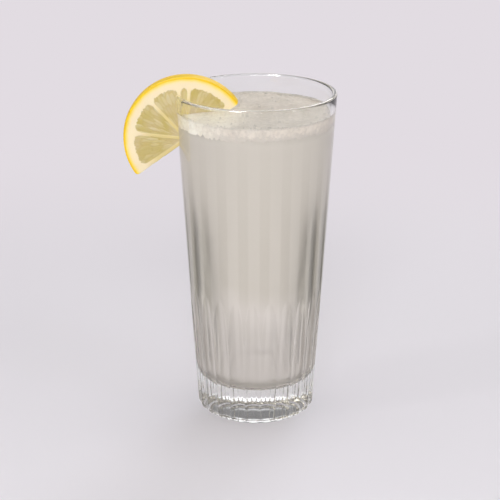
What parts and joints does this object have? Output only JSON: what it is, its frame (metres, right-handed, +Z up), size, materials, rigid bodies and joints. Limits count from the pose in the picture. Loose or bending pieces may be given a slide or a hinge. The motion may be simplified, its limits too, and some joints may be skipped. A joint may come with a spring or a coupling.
{
  "type": "glass of gin fizz",
  "caption": "Tall tapered tumbler with a fluted lower wall, filled with a cloudy drink under a thin band of foam, with half a lemon wheel slit and hung on the rim.",
  "frame": {"origin": "on the table, at the centre of the tumbler's foot ring", "axes": "+Z up along the tumbler's axis; -Y towards the viewer, which is the side the wheel's cut face looks to; the lemon hangs on the -X side of the rim"},
  "size_m": [0.0989, 0.0748, 0.1643],
  "materials": {
    "clear_glass": "clear pressed glass, fire polished",
    "cloudy_drink": "pale grey-white cloudy liquid, glossy on top",
    "foam": "pale cream foam of fine bubbles",
    "lemon": "wet cut lemon: yellow zest, cream pith, straw flesh"
  },
  "bodies": {
    "root": {"tumbler": "clear_glass", "drink": "cloudy_drink", "foam": "foam", "lemon_slice": "lemon"}
  },
  "joints": []
}
